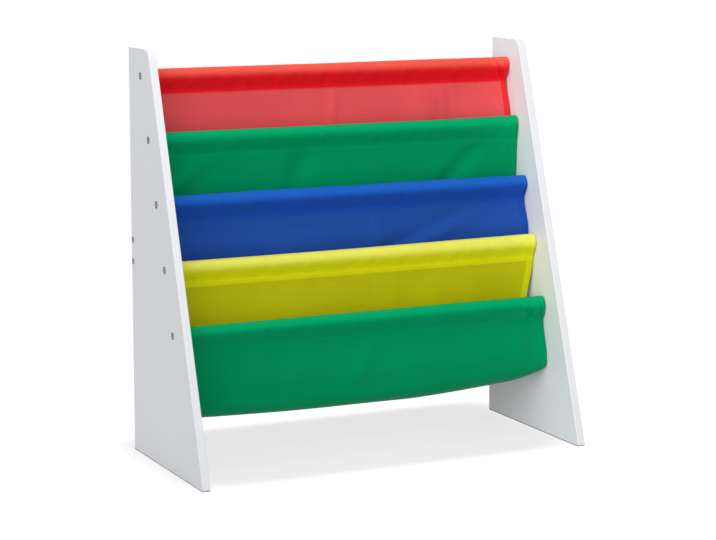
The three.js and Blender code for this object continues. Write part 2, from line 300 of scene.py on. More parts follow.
def outline_normals(outline):
    """Outward normals at the points of an anticlockwise outline, stretched so that an offset along
    them keeps every side parallel: twice the sum of the two sides' normals over its square."""
    side = unit(np.roll(outline, -1, 0) - outline)
    normal = np.stack([side[:, 1], -side[:, 0]], -1)
    total = normal + np.roll(normal, 1, 0)
    return 2 * total / (total ** 2).sum(1, keepdims=True)


# An end face is filled with triangles inside its outline and outside its holes.
inside_without_holes = 2
same_place = 1e-9


def add_board(name, node, outline, length, outer_x, holes, through):
    """A board: its outline in depth and height carried along X, from the outer face inwards, with a
    quarter round on every arris. Holes are (y, z, radii, depths) from an end face inwards; they run
    through, or are blind and drilled from both ends."""
    turn = np.linspace(0, np.pi / 2, arris_steps)
    inset = np.concatenate([[arris + shading_hold], arris * (1 - np.sin(turn)), [0.0]])
    depth = np.concatenate([[0.0], arris * (1 - np.cos(turn)), [arris + shading_hold]])
    inset = np.concatenate([inset, inset[::-1]])
    depth = np.concatenate([depth, length - depth[::-1]])
    rings = outline[None] - outline_normals(outline)[None] * inset[:, None, None]
    along = np.broadcast_to(depth[:, None, None], rings.shape[:2] + (1,))
    points = [np.concatenate([along, rings], -1).reshape(-1, 3)]
    index = np.arange(len(points[0])).reshape(rings.shape[:2])
    quads = [closed_ring_faces(index)]
    bare_and_shade = [np.zeros(index.size)]
    sawn = [np.repeat((inset < arris / 2).astype(float), rings.shape[1])]
    face_loops = {0: [index[0]], 1: [index[-1]]}
    triangles = []
    count = index.size
    around = np.linspace(0, 2 * np.pi, hole_facets, endpoint=False)
    circle = np.stack([np.cos(around), np.sin(around)], -1)
    for y, z, radii, depths in holes:
        for end in ((0,) if through else (0, 1)):
            place = depths if end == 0 else length - depths
            wall = np.array([y, z]) + radii[:, None, None] * circle[None]
            far = np.broadcast_to(place[:, None, None], wall.shape[:2] + (1,))
            points.append(np.concatenate([far, wall], -1).reshape(-1, 3))
            index = count + np.arange(wall.shape[0] * hole_facets).reshape(wall.shape[:2])
            count += index.size
            quads.append(closed_ring_faces(index))
            within = (depths > 0) & (depths < length)
            # Hole walls inside the board are marked for unpainted board in painted shade.
            bare_and_shade.append(np.repeat(within.astype(float), hole_facets))
            sawn.append(np.zeros(index.size))
            face_loops[end].append(index[0])
            if through:
                face_loops[1].append(index[-1])
            else:
                rim = index[-1]
                middle = np.full(hole_facets, count)
                triangles.append(np.stack([rim, np.roll(rim, -1), middle], -1))
                points.append(np.array([[place[-1], y, z]]))
                bare_and_shade.append(np.ones(1))
                sawn.append(np.zeros(1))
                count += 1
    points = np.concatenate(points)
    for loops in face_loops.values():
        numbers = np.concatenate(loops)
        starts = np.cumsum([0] + [len(loop) for loop in loops])
        borders = [list(range(start, end)) for start, end in zip(starts[:-1], starts[1:])]
        flat = [Vector(place) for place in points[numbers, 1:]]
        filled = delaunay_2d_cdt(flat, [], borders, inside_without_holes, same_place)
        triangles.append(numbers[np.array(filled[2])])
    quads, triangles = np.concatenate(quads), np.concatenate(triangles)
    inward = -np.sign(outer_x)
    points[:, 0] = outer_x + inward * points[:, 0]
    smooth = np.arange(len(quads) + len(triangles)) < len(quads)
    board = add_piece(name, points, quads.tolist() + triangles.tolist(), white_paint,
                      smooth=smooth,
                      marks={"bare_board_and_shade": np.concatenate(bare_and_shade), "sawn_edge": np.concatenate(sawn)})
    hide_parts(node)
    return board


def screw_hole(kind):
    """Radii and depths of a countersunk hole: a small lip, straight for the head's rim, a cone for
    the countersink, and straight for the shank."""
    head = kind["head"] / 2 + drill_clearance
    shank = kind["shank"] / 2 + drill_clearance
    cone_start = head_sink + kind["rim"] + drill_clearance
    cone_end = cone_start + kind["cone"]
    radii = np.array([head + hole_lip, head + lip_middle * hole_lip, head, head, shank, shank, shank])
    depths = np.array([
        0, lip_middle * hole_lip, hole_lip, cone_start, cone_end, board_thickness - shading_hold,
        board_thickness])
    return radii, depths


panel_corners = [
    (back_y, 0), (back_y, overall_height), (top_front_y, overall_height),
    (top_front_y - overall_height * np.tan(slant), 0)]
panel_outline = rounded_outline(
    panel_corners, [back_corner_radius, back_corner_radius, top_corner_radius, foot_corner_radius])
panel_holes = [(y, z, *screw_hole(kind)) for _, kind, y, z in screw_places]
for side_name, side in (("left", -1), ("right", 1)):
    add_board(f"{side_name}_board", f"{side_name}_side_panel", panel_outline, board_thickness,
              side * overall_width / 2, panel_holes, through=True)


# Rear rail. A strip of the same painted board between the panels, flush with their back edges. The
# smaller screws hold it through each panel, in blind holes drilled in its ends.
seat_gap = 0.0003
pilot_beyond_tip = 0.002
rail_length = overall_width - 2 * (board_thickness + seat_gap)
rail_front_y = back_y - rail_thickness
rail_bottom_z = rail_centre_z - rail_height / 2
rail_top_z = rail_centre_z + rail_height / 2
rail_corners = [
    (rail_front_y, rail_bottom_z), (back_y, rail_bottom_z), (back_y, rail_top_z), (rail_front_y, rail_top_z)]
pilot_radius = rail_screw["crest"] / 2 + drill_clearance
pilot_depth = head_sink + rail_screw["length"] - board_thickness + pilot_beyond_tip
rail_holes = [(y, z, np.array([pilot_radius, pilot_radius]), np.array([0, pilot_depth]))
              for _, kind, y, z in screw_places if kind is rail_screw]
add_board("back_rail", "rear_rail", rounded_outline(rail_corners, [back_corner_radius] * 4), rail_length,
          -rail_length / 2, rail_holes, through=False)


# Rods. Five round rods of pale sanded wood, 18 mm thick, seated between the panels inside the cloth
# sleeves. The solids already have their shape, so they only get their wood.
grain_shift = 0.37
pith_y = -0.004
pith_z = -0.011
ring_share = 0.45
fibre_share = 0.55


def make_rod_wood(row):
    """Pale wood with its grain along the rod: noise stretched along X, in rings that wander about a
    line close to the rod's own middle, so that they show as long flames. The sanding leaves a fine
    bump along the grain."""
    material, tree, shader = new_finish(f"rod_wood_{row + 1}", Specular_IOR_Level=0.3)
    place = add_node(tree, "ShaderNodeTexCoord").outputs["Object"]
    centred = add_node(
        tree, "ShaderNodeMapping", Vector=place,
        Location=(grain_shift * row, -float(rod_y[row]) - pith_y, -float(rod_z[row]) - pith_z)).outputs[0]
    long = add_node(tree, "ShaderNodeMapping", Vector=centred, Scale=(6, 160, 160)).outputs[0]
    rings = add_node(tree, "ShaderNodeTexWave", {"wave_type": "RINGS", "rings_direction": "X"},
                     Vector=centred, Scale=110.0, Distortion=3.0, Detail=2.0, Detail_Scale=1.5).outputs[0]
    fibres = add_noise(tree, long, scale=2.2, detail=4.0)
    grain = maths(tree, "ADD", maths(tree, "MULTIPLY", rings, ring_share),
                  maths(tree, "MULTIPLY", fibres, fibre_share))
    ramp = add_node(tree, "ShaderNodeValToRGB", Fac=grain)
    dark_wood, pale_wood = ramp.color_ramp.elements
    dark_wood.position = 0.25
    dark_wood.color = from_screen(206, 172, 124)
    pale_wood.position = 0.75
    pale_wood.color = from_screen(229, 203, 161)
    colour, _ = add_mottle(tree, centred, ramp.outputs[0], scale=30.0, amount=0.05)
    tree.links.new(colour, shader.inputs["Base Color"])
    tree.links.new(varied(tree, fibres, least=0.48, spread=0.2), shader.inputs["Roughness"])
    add_relief(tree, shader, fibres, strength=0.3, distance=0.0002)
    return material


for row in range(rod_count):
    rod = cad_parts[f"dowel_rod_{row + 1}"]
    rod.material_slots[0].material = make_rod_wood(row)


# Screws. Fourteen bright zinc-plated steel screws with a countersunk head, a hexagon socket and a
# wood thread. Each sits just below the face of its panel and pulls a rod or the rail against it.
screw_facets = 30
thread_rings_per_turn = 6

# The thread's wave is raised and cut off, which leaves flat crests and a flat core between them.
thread_rise = 1.6
thread_cut = 0.3

# The socket's floor is dished by the drill, as shares of its width and depths below it, and has an
# eased corner. Its mouth and the head's rim are bevelled, with a ring beside them that keeps the
# shading of the face flat, and the round of the rim is given in shares of its bevel.
drill_mark_share = 0.45
drill_mark_dip = 0.0002
drill_point_dip = 0.0003
floor_corner_share = 0.97
small_edge = 0.0001
socket_bevel = 0.00025
head_edge = 0.00025
beside_bevel = 1.3
bevel_dip = 0.00002
rim_round_in = 0.3
rim_round_down = 0.35
neck_hold = 0.0002

# Rings of the tip: their radii as shares of the core's width, and their places as shares of the tip.
tip_rings = [(0.42, 0.4), (0.18, 0.8)]

# Painted highlight on the rings from the socket's mouth to the flat face and the face's first part.
painted_highlight_rings = (4, 5, 6)
painted_highlight_share = 0.3
turning_lines = 9000.0


def make_screw_steel():
    """Plated steel, with a painted highlight between socket and rim, and painted shade, dark and dull,
    at the rim and down in the socket. Fine turning lines follow the distance from the screw's axis."""
    material, tree, shader = new_finish("screw_steel", Metallic=1.0)
    radius = read_mark(tree, "from_axis")
    place = add_node(tree, "ShaderNodeTexCoord").outputs["Object"]
    plated, dull = add_mottle(tree, place, from_screen(205, 207, 211), scale=700.0, amount=0.06)
    # Painted shade, nearly black, on the rim and in the socket; the rest keeps the plated colour.
    dark = maths(tree, "GREATER_THAN", read_mark(tree, "painted_shade"), painted_highlight_share)
    tree.links.new(blended(tree, dark, plated, from_screen(16, 16, 17)), shader.inputs["Base Color"])
    lines = add_node(tree, "ShaderNodeTexNoise", {"noise_dimensions": "1D"},
                     W=maths(tree, "MULTIPLY", radius, turning_lines), Scale=1.0, Detail=2.0).outputs[0]
    tree.links.new(varied(tree, dull, least=0.2, spread=0.18), shader.inputs["Roughness"])
    add_relief(tree, shader, lines, strength=0.25, distance=0.00003)
    return material


screw_steel = make_screw_steel()


def screw_grid(kind):
    """Rings of a screw from the socket's floor out over the head and down to the tip, as arrays of
    radius and place along the axis. The socket's rings are a hexagon, whose radius is half the width
    across its flats over the cosine of the angle from the nearest flat. The thread's radius rises and
    falls as a triangle wave of the place over the pitch less the share of a turn."""
    angle = np.linspace(0, 2 * np.pi, screw_facets, endpoint=False)[None]
    flat = kind["socket"] / 2
    hexagon = flat / np.cos((angle % (np.pi / 3)) - np.pi / 6)
    head, shank = kind["head"] / 2, kind["shank"] / 2
    shank_start = kind["rim"] + kind["cone"]
    thread_start = shank_start + kind["plain"]
    thread_end = kind["length"] - kind["tip"]
    turns = (thread_end - thread_start) / kind["pitch"]
    place = np.linspace(thread_start, thread_end, int(turns * thread_rings_per_turn))[:, None]
    wave = np.abs(((place / kind["pitch"] - angle / (2 * np.pi)) % 1) * 2 - 1)
    run_in = np.minimum((place - thread_start) / kind["pitch"], 1)
    crest = (kind["core"] / 2 + (kind["crest"] - kind["core"]) / 2
             * np.clip(thread_rise * wave - thread_cut, 0, 1) * run_in)
    socket_depth = kind["socket_depth"]
    rings = [
        (hexagon * drill_mark_share, socket_depth + drill_mark_dip),
        (hexagon * floor_corner_share, socket_depth),
        (hexagon, socket_depth - small_edge),
        (hexagon, socket_bevel * beside_bevel),
        (hexagon, socket_bevel),
        (hexagon + socket_bevel, bevel_dip),
        (hexagon + socket_bevel * beside_bevel, 0),
        (head - head_edge * beside_bevel, 0),
        (head - head_edge, bevel_dip),
        (head - head_edge * rim_round_in, head_edge * rim_round_down),
        (head, head_edge),
        (head, kind["rim"]),
        (head - small_edge, kind["rim"] + small_edge),
        (shank, shank_start),
        (shank, shank_start + neck_hold),
        (shank, thread_start),
        (crest, place)]
    rings += [(kind["core"] * width, thread_end + share * kind["tip"]) for width, share in tip_rings]
    one = np.ones_like(angle)
    radius = np.concatenate([one * ring_radius for ring_radius, _ in rings])
    along = np.concatenate([one * ring_place for _, ring_place in rings])
    return radius, along, angle


def end_caps(index, first):
    """Triangles that close the first and the last ring of an array of point numbers, each with a
    point of its own. These are the point numbered first and the next one."""
    point = np.full(index.shape[1], first)
    return np.concatenate([
        np.stack([point, index[0], np.roll(index[0], -1)], -1),
        np.stack([point + 1, np.roll(index[-1], -1), index[-1]], -1)])


def add_screw(name, node, kind, side, y, z):
    """A screw at its place in a panel, closed by a point at the socket's floor and at its tip."""
    radius, along, angle = screw_grid(kind)
    outer_x = side * (overall_width / 2 - head_sink)
    x = outer_x - side * along
    grid = np.stack([x, y + radius * np.cos(angle), z + radius * np.sin(angle)], -1).reshape(-1, 3)
    floor = [outer_x - side * (kind["socket_depth"] + drill_point_dip), y, z]
    tip = [outer_x - side * kind["length"], y, z]
    index = np.arange(len(grid)).reshape(radius.shape)
    # Every ring outside the painted highlight is marked for painted shade.
    in_shade = ~np.isin(np.arange(len(radius)), painted_highlight_rings)
    painted_shade = np.repeat(in_shade.astype(float), screw_facets)
    screw = add_piece(name, np.concatenate([grid, [floor, tip]]),
                      closed_ring_faces(index).tolist() + end_caps(index, len(grid)).tolist(),
                      screw_steel,
                      marks={"from_axis": np.concatenate([radius.ravel(), [0, 0]]),
                             "painted_shade": np.concatenate([painted_shade, [1, 1]])})
    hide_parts(node)


for side_name, side in (("left", -1), ("right", 1)):
    for place_name, kind, y, z in screw_places:
        add_screw(f"{side_name}_{place_name}_turned", f"{side_name}_{place_name}", kind, side, y, z)


# Cloth panels. Five strips of plain-woven polyester, hemmed at both sides. Each is folded over its rod
# and sewn across to make a sleeve, and its front layer backs its own pocket. Its rear layer is the front
# of the pocket above, turns under it and is sewn to its back.
cloth_half_width = 0.295
cloth_thickness = 0.0008
layer_room = 0.001
layer_spread = 0.003
pocket_drop = 0.126
hem_lap = 0.010

# The sleeve's seam begins one reach below the rod's middle.
sleeve_clearance = 0.0004
sleeve_reach = 0.0214
seam_height = 0.0025
seam_gap = 0.00005

# The side hems: folded in at the back, so that most of their extra thickness lies there.
hem_width = 0.0118
hem_stitch = 0.0100
hem_extra = 0.0005
hem_front_share = 0.25
hem_run = 0.0012
sleeve_hem_run = 0.001
hem_backing = 0.75
stitch_groove = 0.00022
groove_half_width = 0.0008
side_edge_round = 0.0006
end_edge_round = 0.0005

# Where each row hangs: forward of its rod at the left and right ends, softly folded between, further
# forward near the right end, where the seam swings out too, and drawn in at the side there.
left_lie = np.array([0.003, 0.003, 0.004, 0.002, 0.007])
right_lie = np.array([0.006, 0.004, 0.006, -0.003, 0.015])
fold_depth = 0.0012
fold_waves = 2.5
end_lean = np.array([0.009, 0.001, 0.009, -0.003, 0.000])
end_swing = np.array([0.000, 0.005, 0.000, -0.001, 0.003])
lean_from_x = 0.175
end_draw = np.array([0.000, 0.001, 0.000, 0.008, 0.000])
draw_width = 0.09
draw_run = 0.08

# How far below the seam each row leaves the seam's plane, and how long it takes to reach its own lie.
hang_start = np.array([0.000, 0.000, 0.016, 0.000, 0.000])
hang_run = np.array([0.060, 0.060, 0.030, 0.060, 0.060])

# The seam stands out as a ridge. Its puckers are largest on the sleeve's flanks, and smaller at the
# seam and below it, where they fade.
seam_ridge = np.array([0.0002, 0.0003, 0.0003, 0.0016, 0.0004])
sleeve_pucker = np.array([3.6, 2.0, 1.6, 1.6, 1.6])
seam_pucker_share = 0.3
pucker_run = 0.004
pucker_fade = 0.016

# Heights over the rod's middle between which the colour turns to a painted highlight on top of the sleeve.
painted_highlight_foot = np.array([-0.0085, -0.0115, -0.0080, -0.0095, -0.0040])
painted_highlight_top = 0.006

# The pocket's bottom: it sags in the middle, and lifts along a run at each end and at the corners.
pocket_sag = 0.003
right_corner_lift = 0.013
left_corner_lift = 0.003
corner_run = 0.060
right_lift = 0.011
left_lift = 0.002
lift_run = 0.230
lift_power = 1.25
turn_flattening = 0.6

# How far each row's sleeve stands above its rod, at the ends, in the middle and halfway between, in
# millimetres from left to right.
crown_rise = np.array([
    [0.0, 0.0, 0.0, 0.9, 0.7], [0.0, 0.0, 0.0, 0.2, 1.8], [1.0, 2.5, 1.7, 2.3, 1.6],
    [0.8, 0.8, 1.4, 2.9, 4.3], [0.7, 1.2, 1.4, 2.2, 2.0]])
crown_stations = np.linspace(-cloth_half_width, cloth_half_width, 5)

# Pleats in each row's sleeve near its right end: how far from the end, how wide, and how high. The
# slant is over the sleeve's reach. The dip's start and the fade on top are in shares of the rod's
# radius, and the fade at the foot in shares of the seam's height.
pleat_slant = 0.004
pleat_spread = 1.4
pleat_dip = 0.8
pleat_dip_start = 0.7
pleat_top = 0.6
pleat_foot = 0.4
pleats = [
    [(0.0185, 0.0045, 0.0042)],
    [(0.0120, 0.0030, 0.0006)],
    [(0.0060, 0.0026, 0.0012)],
    [(0.0110, 0.0026, 0.0008)],
    [(0.0270, 0.0045, 0.0036), (0.0085, 0.0032, 0.0024)]]

# Soft diagonal creases of each row: where they leave the seam, how far they run sideways for each
# metre down, their half width, how far they stand forward, and how far down they reach. Over the runs
# they begin, end, and fade above a pocket's turn.
crease_start_run = 0.018
crease_end_run = 0.035
crease_foot_run = 0.03
creases = [
    [(0.003, -0.20, 0.007, 0.0014, 0.05), (0.150, 0.00, 0.030, 0.0050, 0.05),
     (0.181, 0.00, 0.007, 0.0012, 0.05)],
    [(-0.213, -1.28, 0.017, 0.0045, 0.06), (-0.064, -0.34, 0.018, -0.0035, 0.06),
     (0.234, -1.05, 0.017, -0.0045, 0.06)],
    [(0.038, 0.16, 0.010, 0.0025, 0.045), (0.217, -2.58, 0.018, -0.0042, 0.06),
     (0.252, -2.4, 0.020, 0.0030, 0.06)],
    [(-0.12, 0.3, 0.022, 0.0012, 0.06), (0.10, -0.3, 0.026, -0.0012, 0.06),
     (0.215, 0.6, 0.016, 0.0012, 0.06)],
    [(-0.178, 0.0, 0.012, 0.0010, 0.030), (0.012, -0.57, 0.014, 0.0022, 0.07),
     (0.150, -0.3, 0.020, -0.0016, 0.08), (0.245, 0.25, 0.014, 0.0024, 0.07)]]

# The rows' layers and their cut lengths. The red cloth hangs in a front layer alone, and the lowest one
# in a single layer that turns under the last pocket.
cloth_rows = [
    {"name": "red", "node": "sling_red", "front": True, "rear": False, "cut": 0.264},
    {"name": "green_upper", "node": "sling_green_upper", "front": True, "rear": True, "cut": 0.392},
    {"name": "blue", "node": "sling_blue", "front": True, "rear": True, "cut": 0.401},
    {"name": "yellow", "node": "sling_yellow", "front": True, "rear": True, "cut": 0.379},
    {"name": "green_lower", "node": "sling_green_lower", "front": False, "rear": True, "cut": 0.241}]

# Points along a strip: over the rod, down the seam and each flank of the sleeve, in a hanging layer,
# in a pocket's turn and in its lap. The last row has more of them in its layer and turn.
sleeve_arc_points = 29
seam_points = 5
flank_points = 7
sleeve_points = sleeve_arc_points + 2 * (seam_points + flank_points)
layer_points = 42
last_layer_points = 56
turn_points = 19
last_turn_points = 23
lap_points = 5
softening_passes = 3

# Stations across the cloth: close together over the rounded edge, the hem and the pleats, wider
# between.
hem_stations = np.concatenate([
    [0, 0.00004, 0.00014, 0.0003, 0.0005, 0.0008, 0.0014], np.arange(0.0022, 0.0104, 0.0012),
    np.arange(0.0106, 0.0152, 0.0004)])
pleat_stations = np.arange(cloth_half_width - 0.038, cloth_half_width - 0.0155, 0.0009)
inner_stations = np.linspace(-cloth_half_width + 0.018, cloth_half_width - 0.041, 148)
across = np.concatenate([
    -cloth_half_width + hem_stations, inner_stations, pleat_stations,
    (cloth_half_width - hem_stations)[::-1]])
from_side = cloth_half_width - np.abs(across)


def eased(value):
    """Nought below nought, one above one, and a smooth S between: three squares less two cubes."""
    value = np.clip(value, 0, 1)
    return value * value * (3 - 2 * value)


def near_right_end(x):
    """Nought up to the lean's start and one at the cloth's right end, with a smooth S between."""
    return eased((x - lean_from_x) / (cloth_half_width - lean_from_x))


def towards_side(x, run):
    """Nought up to a run from either side of the cloth, then straight up to one at the side."""
    return np.clip((np.abs(x) - cloth_half_width + run) / run, 0, 1)


def forward_lie(row, x):
    """How far forward of its rod a row's cloth lies at x: a straight change from the left end to the
    right one, plus a sine of soft folds, plus the lean near the right end."""
    share = (x / cloth_half_width + 1) / 2
    fold = fold_depth * np.sin(fold_waves * 2 * np.pi * share + row)
    lean = end_lean[row] * near_right_end(x)
    return left_lie[row] + (right_lie[row] - left_lie[row]) * share + fold + lean


def pocket_underside(row, x):
    """Height of the underside of the pocket whose front hangs on a row's rod: one drop below the rod,
    with a sag that follows a parabola, lifted by the square of the way into the last stretch and by a
    nearly straight rise along a longer one."""
    sag = pocket_sag * np.clip(1 - (x / cloth_half_width) ** 2, 0, 1)
    lift = np.where(x > 0, right_lift, left_lift)
    corner_lift = np.where(x > 0, right_corner_lift, left_corner_lift)
    return (rod_z[row] - pocket_drop - sag + corner_lift * towards_side(x, corner_run) ** 2
            + lift * towards_side(x, lift_run) ** lift_power)


def pocket_turn(row, x):
    """The lowest part of a row's own pocket at x: middle planes of its back, its front and its lapped
    edge, and the half width and centre height of the turn that joins front and lap. The turn is half a
    circle in the middle and pressed flatter towards the ends."""
    back = rod_y[row] - layer_room / 2 - forward_lie(row, x)
    spread = layer_spread + layer_room if cloth_rows[row + 1]["front"] else 0
    front = rod_y[row + 1] - layer_room / 2 - forward_lie(row + 1, x) + spread
    edge = back + layer_room + seat_gap
    radius = (edge - front) / 2
    height = radius * (1 - turn_flattening * eased(towards_side(x, corner_run)))
    return back, front, edge, radius, pocket_underside(row + 1, x) + layer_room / 2 + height


def seam_pucker(row, x):
    """Small uneven puckers that the stitching leaves, as a sum of four sines of x."""
    lengths = np.array([0.047, 0.029, 0.0173, 0.0108])
    heights = np.array([0.00022, 0.00020, 0.00014, 0.00008])
    phase = np.array([0.3, 1.9, 4.1, 5.2]) * (row + 1)
    return (heights * np.sin(2 * np.pi * x[:, None] / lengths + phase)).sum(1)


def crease_lie(row, x, drop):
    """How far the creases stand forward at x and a drop below the seam: for each, its depth times a
    bell curve of the distance from its slanting line, eased in below the seam and out at its reach."""
    total = np.zeros(np.broadcast_shapes(x.shape, drop.shape))
    for start, run, half_width, depth, reach in creases[row]:
        off_line = (x - start - run * drop) / half_width
        ends = eased(drop / crease_start_run) * (1 - eased((drop - reach) / crease_end_run))
        total = total + depth * np.exp(-off_line ** 2) * ends
    return total


def hanging_layer(row, x, start_y, end_y, end_z, count):
    """Middle surface of a layer from the seam down to a pocket's turn. Its height falls evenly. Its
    depth eases from the seam's plane to its own lie, with puckers below the seam and creases."""
    start_z = rod_z[row] - sleeve_reach - seam_height
    share = np.linspace(0, 1, count)[:, None]
    z = start_z + (end_z - start_z) * share
    drop = start_z - z
    near_seam = eased(drop / pucker_run) * np.exp(-drop / pucker_fade)
    crease = crease_lie(row, x, drop) * eased((z - end_z) / crease_foot_run)
    forward = crease + seam_pucker(row, x) * near_seam
    near_end = near_right_end(x)
    hang = eased((drop - hang_start[row] * (1 - near_end)) / (hang_run[row] + hang_start[row] * near_end))
    return start_y + (end_y - start_y) * hang - forward, z


def pocket_curve(row, x, count):
    """Middle surface of the turn under a row's pocket, from its front to its lapped edge: half an
    ellipse below the centre, then straight up behind the back."""
    _, front, _, radius, centre = pocket_turn(row, x)
    height = centre - pocket_underside(row + 1, x) - layer_room / 2
    angle = np.linspace(np.pi, 2 * np.pi, count)[:, None]
    y = front + radius + radius * np.cos(angle)
    z = centre + height * np.sin(angle)
    rise = np.linspace(0, 1, lap_points + 1)[1:, None] * hem_lap
    return np.concatenate([y, y[-1:] + 0 * rise]), np.concatenate([z, centre + rise])


def swing(row, x):
    """How far the seam swings forward of the rod near the right end."""
    return end_swing[row] * near_right_end(x)


def pleat_lie(row, x, z, radius):
    """How far a row's pleats stand off the sleeve at x and a height over the rod's middle. Each is two
    bell curves side by side along a slanting line, with a third one taken off between them lower
    down. They fade on the rod and at the seam."""
    off_rod = eased(pleat_top - z / radius) * eased((z + sleeve_reach) / seam_height - pleat_foot)
    fold_x = x - cloth_half_width + pleat_slant * z / sleeve_reach
    total = 0
    for from_end, width, height in pleats[row]:
        off_fold = (fold_x + from_end) / width
        dip = pleat_dip * np.exp(-off_fold ** 2) * eased(-z / radius - pleat_dip_start)
        total = total + height * (np.exp(-(np.abs(off_fold) - pleat_spread) ** 2) - dip)
    return total * off_rod


sleeve_hem = hem_extra * eased((hem_width - from_side) / sleeve_hem_run)


def sleeve_surface(row, x):
    """Middle surface of the sleeve from the seam's lower end at the back, over the rod, to the same
    at the front. A circle round the rod meets two straight flanks that touch it and end at the seam.
    The crown stands a little above the rod, and the flanks have the hems, puckers and pleats."""
    radius = rod_radius + sleeve_clearance + cloth_thickness / 2
    away = np.arccos(radius / sleeve_reach)
    angle = np.linspace(away - np.pi / 2, 3 * np.pi / 2 - away, sleeve_arc_points)
    arc = np.stack([radius * np.cos(angle), radius * np.sin(angle)], -1)
    neck = cloth_thickness / 2 + seam_gap
    seam_z = -sleeve_reach - seam_height + seam_height * np.linspace(0, 1, seam_points)
    seam = np.stack([np.full(seam_points, neck), seam_z], -1)
    flank = seam[-1] + (arc[0] - seam[-1]) * np.linspace(0, 1, flank_points + 2)[1:-1, None]
    rear = np.concatenate([seam, flank])
    line = np.concatenate([rear, arc, rear[::-1] * [-1, 1]])
    y, z = line[:, :1] + 0 * x, line[:, 1:] + 0 * x
    below = eased(-z / sleeve_reach)
    puckered = np.sin(np.pi * np.clip(-z / sleeve_reach, 0, 1)) ** 2 + below * seam_pucker_share
    pucker = seam_pucker(row, x) * puckered * sleeve_pucker[row]
    y = y + np.sign(line[:, :1]) * (sleeve_hem * below + pucker + pleat_lie(row, x, z, radius))
    z = z + np.interp(x, crown_stations, crown_rise[row] / 1000) * eased(z / radius)
    return rod_y[row] + y - swing(row, x) * below, rod_z[row] + z


def softened(line, passes):
    """A line of points smoothed along its length, with its two ends kept: each pass gives a point half
    its own place and a quarter of each neighbour's."""
    for _ in range(passes):
        line = np.concatenate([line[:1], (line[:-2] + 2 * line[1:-1] + line[2:]) / 4, line[-1:]])
    return line


def strip_surface(row, x):
    """Middle surface of a row's whole strip, in order along the cloth, and the number of its first
    sleeve point. Two-layer rows begin at the lapped edge of the pocket above."""
    plan = cloth_rows[row]
    neck = cloth_thickness / 2 + seam_gap + sleeve_hem
    front_start = rod_y[row] - neck - swing(row, x)
    rear_start = rod_y[row] + neck - swing(row, x)
    parts = []
    if plan["front"] and plan["rear"]:
        _, front, _, _, centre = pocket_turn(row - 1, x)
        curve = pocket_curve(row - 1, x, turn_points)
        wall = hanging_layer(row, x, rear_start, front, centre, layer_points)
        parts.append([values[::-1] for values in curve])
        parts.append([values[::-1][1:-1] for values in wall])
    first_sleeve = sum(len(part[0]) for part in parts)
    parts.append(sleeve_surface(row, x))
    if plan["front"]:
        back, _, _, _, centre = pocket_turn(row, x)
        wall = hanging_layer(row, x, front_start, back, centre, layer_points)
        parts.append([values[1:] for values in wall])
    else:
        _, front, _, _, centre = pocket_turn(row - 1, x)
        curve = pocket_curve(row - 1, x, last_turn_points)
        wall = hanging_layer(row, x, front_start, front, centre, last_layer_points)
        parts.append([values[1:] for values in wall])
        parts.append([values[1:] for values in curve])
    y, z = (np.concatenate([part[axis] for part in parts]) for axis in (0, 1))
    off_seam = (rod_z[row] - sleeve_reach - seam_height / 2 - z) / seam_height
    y = y - seam_ridge[row] * np.exp(-off_seam ** 2)
    drop = np.clip(rod_z[row] - sleeve_reach - seam_height - z, 0, None)
    near_side = eased(1 - (cloth_half_width - x) / draw_width)
    drawn = x - end_draw[row] * near_side * eased(drop / draw_run) * (drop > 0)
    surface = np.stack([drawn, y, z], -1)
    return softened(surface, softening_passes), first_sleeve


def with_rounded_ends(surface):
    """The same surface with extra lines close to its first and last one, which the rounded edge needs.
    Their places are shares of the way from a line to the next."""
    shares = np.array([0, 0.02, 0.07, 0.16, 0.3, 0.55])
    count = len(surface)
    place = np.concatenate([shares, np.arange(1, count - 1), count - 1 - shares[::-1]])
    lower = np.minimum(place.astype(int), count - 2)
    part = (place - lower)[:, None, None]
    return surface[lower] * (1 - part) + surface[lower + 1] * part, place


def surface_normals(surface):
    """Unit normals of a grid of points: the cross product of the slopes along it and across it."""
    return unit(np.cross(np.gradient(surface, axis=0), np.gradient(surface, axis=1)))


def rounded(distance, reach):
    """Share of the full thickness at a distance from an edge, as on a half circle."""
    return np.sqrt(1 - (1 - np.clip(distance / reach, 0, 1)) ** 2)


def shell_faces(rows, columns):
    """Point numbers of a closed shell of two grids that share their border, and its quads. The second
    grid has points of its own only inside the border."""
    face = np.arange(rows * columns).reshape(rows, columns)
    back = face.copy()
    back[1:-1, 1:-1] = rows * columns + np.arange((rows - 2) * (columns - 2)).reshape(rows - 2, columns - 2)
    quads = [np.stack([grid[:-1, :-1], grid[:-1, 1:], grid[1:, 1:], grid[1:, :-1]], -1).reshape(-1, 4)
             for grid in (face, back)]
    return np.concatenate([quads[0], quads[1][:, ::-1]])


def shell_values(face, back):
    """Values for the points of such a shell: those of the first grid, then those inside the border of
    the second."""
    inside = back[1:-1, 1:-1]
    return np.concatenate([face.reshape(-1, *face.shape[2:]), inside.reshape(-1, *back.shape[2:])])


